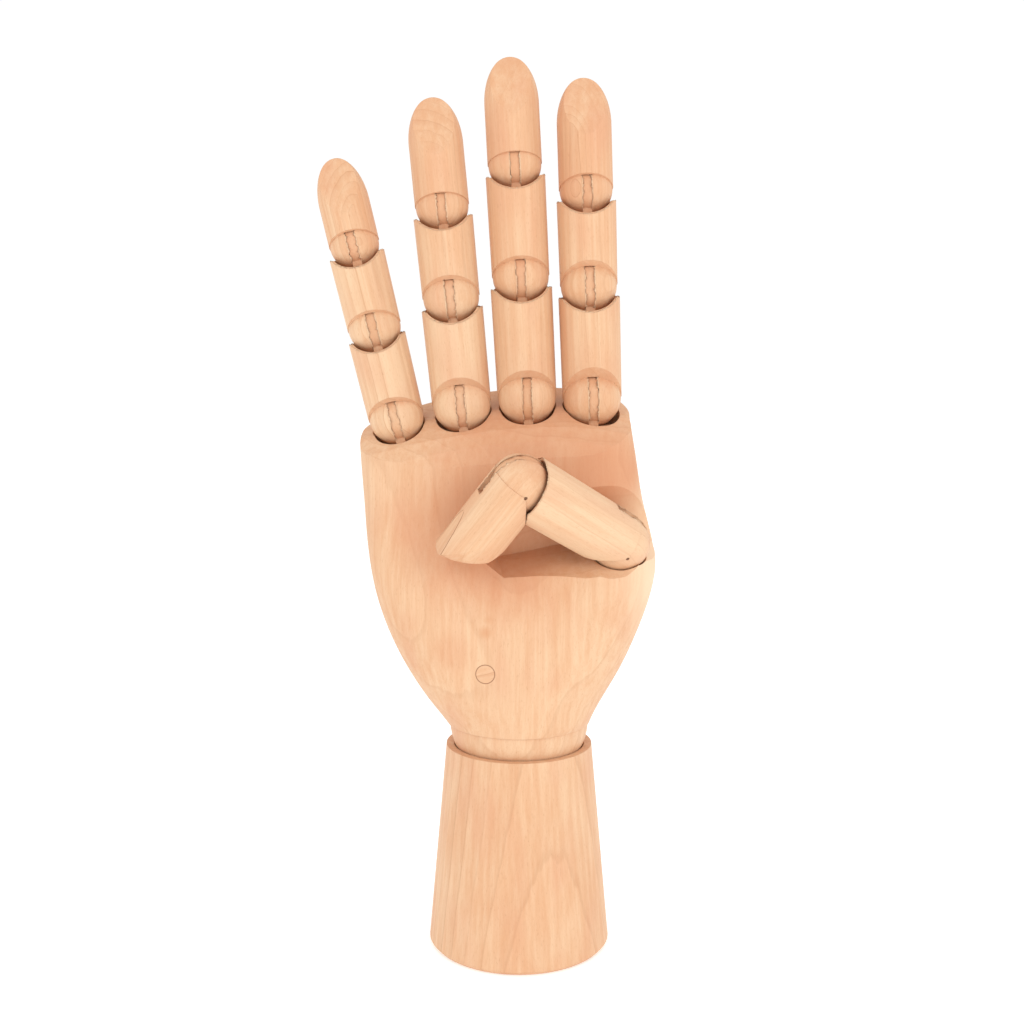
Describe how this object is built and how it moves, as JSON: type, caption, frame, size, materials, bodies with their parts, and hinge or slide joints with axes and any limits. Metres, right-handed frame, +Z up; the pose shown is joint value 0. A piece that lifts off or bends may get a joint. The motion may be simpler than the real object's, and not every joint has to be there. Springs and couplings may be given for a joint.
{
  "type": "artist's jointed hand",
  "caption": "Wooden artist's hand with pinned, bending fingers and thumb on a tapered round forearm block that stands upright; the wrist turns and tilts.",
  "frame": {"origin": "centre of the forearm block's underside, on the surface it stands on", "axes": "+Z up along the forearm block's axis, -Y the way the palm faces, +X towards the thumb's side"},
  "size_m": [0.0944, 0.0635, 0.2512],
  "materials": {
    "base_wood": "fine sanded pale hardwood, bare",
    "palm_wood": "fine sanded pale hardwood, bare, slightly pinker",
    "finger_wood": "fine sanded pale hardwood, bare, torn fibres at saw cuts",
    "tongue_wood": "sawn pale hardwood",
    "plug_wood": "sanded flush, grain across the palm's",
    "steel": "plain drawn wire and turned rod"
  },
  "bodies": {
    "forearm": {"forearm_base": "base_wood"},
    "wrist_rod": {"wrist_rod": "steel", "wrist_nut": "steel", "wrist_washer": "steel", "wrist_spring": "steel"},
    "hand": {"palm": "palm_wood", "palm_plug": "plug_wood", "wrist_pin": "steel", "index_proximal_tongue": "tongue_wood", "middle_proximal_tongue": "tongue_wood", "ring_proximal_tongue": "tongue_wood", "little_proximal_tongue": "tongue_wood", "thumb_proximal_tongue": "tongue_wood"},
    "index_proximal": {"index_proximal": "finger_wood", "index_proximal_pin": "steel", "index_middle_tongue": "tongue_wood"},
    "index_middle": {"index_middle": "finger_wood", "index_middle_pin": "steel", "index_distal_tongue": "tongue_wood"},
    "index_distal": {"index_distal": "finger_wood", "index_distal_pin": "steel"},
    "middle_proximal": {"middle_proximal": "finger_wood", "middle_proximal_pin": "steel", "middle_middle_tongue": "tongue_wood"},
    "middle_middle": {"middle_middle": "finger_wood", "middle_middle_pin": "steel", "middle_distal_tongue": "tongue_wood"},
    "middle_distal": {"middle_distal": "finger_wood", "middle_distal_pin": "steel"},
    "ring_proximal": {"ring_proximal": "finger_wood", "ring_proximal_pin": "steel", "ring_middle_tongue": "tongue_wood"},
    "ring_middle": {"ring_middle": "finger_wood", "ring_middle_pin": "steel", "ring_distal_tongue": "tongue_wood"},
    "ring_distal": {"ring_distal": "finger_wood", "ring_distal_pin": "steel"},
    "little_proximal": {"little_proximal": "finger_wood", "little_proximal_pin": "steel", "little_middle_tongue": "tongue_wood"},
    "little_middle": {"little_middle": "finger_wood", "little_middle_pin": "steel", "little_distal_tongue": "tongue_wood"},
    "little_distal": {"little_distal": "finger_wood", "little_distal_pin": "steel"},
    "thumb_proximal": {"thumb_proximal": "finger_wood", "thumb_proximal_pin": "steel", "thumb_distal_tongue": "tongue_wood"},
    "thumb_distal": {"thumb_distal": "finger_wood", "thumb_distal_pin": "steel"}
  },
  "joints": [
    {"name": "wrist_swivel", "type": "hinge", "parent": "forearm", "child": "wrist_rod", "pos_m": [0, 0, 0.0664], "axis": [0, 0, 1], "continuous": true},
    {"name": "wrist_tilt", "type": "hinge", "parent": "wrist_rod", "child": "hand", "pos_m": [0, 0, 0.0664], "axis": [1, 0, 0], "range_deg": [-14, 14]},
    {"name": "index_knuckle", "type": "hinge", "parent": "hand", "child": "index_proximal", "pos_m": [0.0205, 0, 0.1584], "axis": [-0.9993, 0, -0.0366], "range_deg": [-75, 10]},
    {"name": "index_middle_joint", "type": "hinge", "parent": "index_proximal", "child": "index_middle", "pos_m": [0.01936, 0, 0.18958], "axis": [0.9993, 0, 0.0366], "range_deg": [-10, 69]},
    {"name": "index_end_joint", "type": "hinge", "parent": "index_middle", "child": "index_distal", "pos_m": [0.0184, 0, 0.21566], "axis": [0.9993, 0, 0.0366], "range_deg": [-10, 58]},
    {"name": "middle_knuckle", "type": "hinge", "parent": "hand", "child": "middle_proximal", "pos_m": [0.0022, 0, 0.1587], "axis": [-0.9985, 0, -0.0541], "range_deg": [-75, 10]},
    {"name": "middle_middle_joint", "type": "hinge", "parent": "middle_proximal", "child": "middle_middle", "pos_m": [0.00039, 0, 0.19205], "axis": [0.9985, 0, 0.0541], "range_deg": [-10, 69]},
    {"name": "middle_end_joint", "type": "hinge", "parent": "middle_middle", "child": "middle_distal", "pos_m": [-0.00125, 0, 0.22241], "axis": [0.9985, 0, 0.0541], "range_deg": [-10, 58]},
    {"name": "ring_knuckle", "type": "hinge", "parent": "hand", "child": "ring_proximal", "pos_m": [-0.0162, 0, 0.1567], "axis": [-0.9956, 0, -0.0941], "range_deg": [-75, 10]},
    {"name": "ring_middle_joint", "type": "hinge", "parent": "ring_proximal", "child": "ring_middle", "pos_m": [-0.019, 0, 0.18637], "axis": [0.9956, 0, 0.0941], "range_deg": [-10, 69]},
    {"name": "ring_end_joint", "type": "hinge", "parent": "ring_middle", "child": "ring_distal", "pos_m": [-0.02136, 0, 0.21126], "axis": [0.9956, 0, 0.0941], "range_deg": [-10, 58]},
    {"name": "little_knuckle", "type": "hinge", "parent": "hand", "child": "little_proximal", "pos_m": [-0.0346, 0, 0.1529], "axis": [-0.974, 0, -0.2267], "range_deg": [-75, 10]},
    {"name": "little_middle_joint", "type": "hinge", "parent": "little_proximal", "child": "little_middle", "pos_m": [-0.04045, 0, 0.17803], "axis": [0.974, 0, 0.2267], "range_deg": [-10, 69]},
    {"name": "little_end_joint", "type": "hinge", "parent": "little_middle", "child": "little_distal", "pos_m": [-0.04573, 0, 0.20072], "axis": [0.974, 0, 0.2267], "range_deg": [-10, 58]},
    {"name": "thumb_root_joint", "type": "hinge", "parent": "hand", "child": "thumb_proximal", "pos_m": [0.0274, -0.015, 0.1196], "axis": [-0.1891, 0.883, 0.4295], "range_deg": [0, 86]},
    {"name": "thumb_end_joint", "type": "hinge", "parent": "thumb_proximal", "child": "thumb_distal", "pos_m": [-0.00012, -0.02951, 0.13731], "axis": [-0.1891, 0.883, 0.4295], "range_deg": [0, 96]}
  ]
}
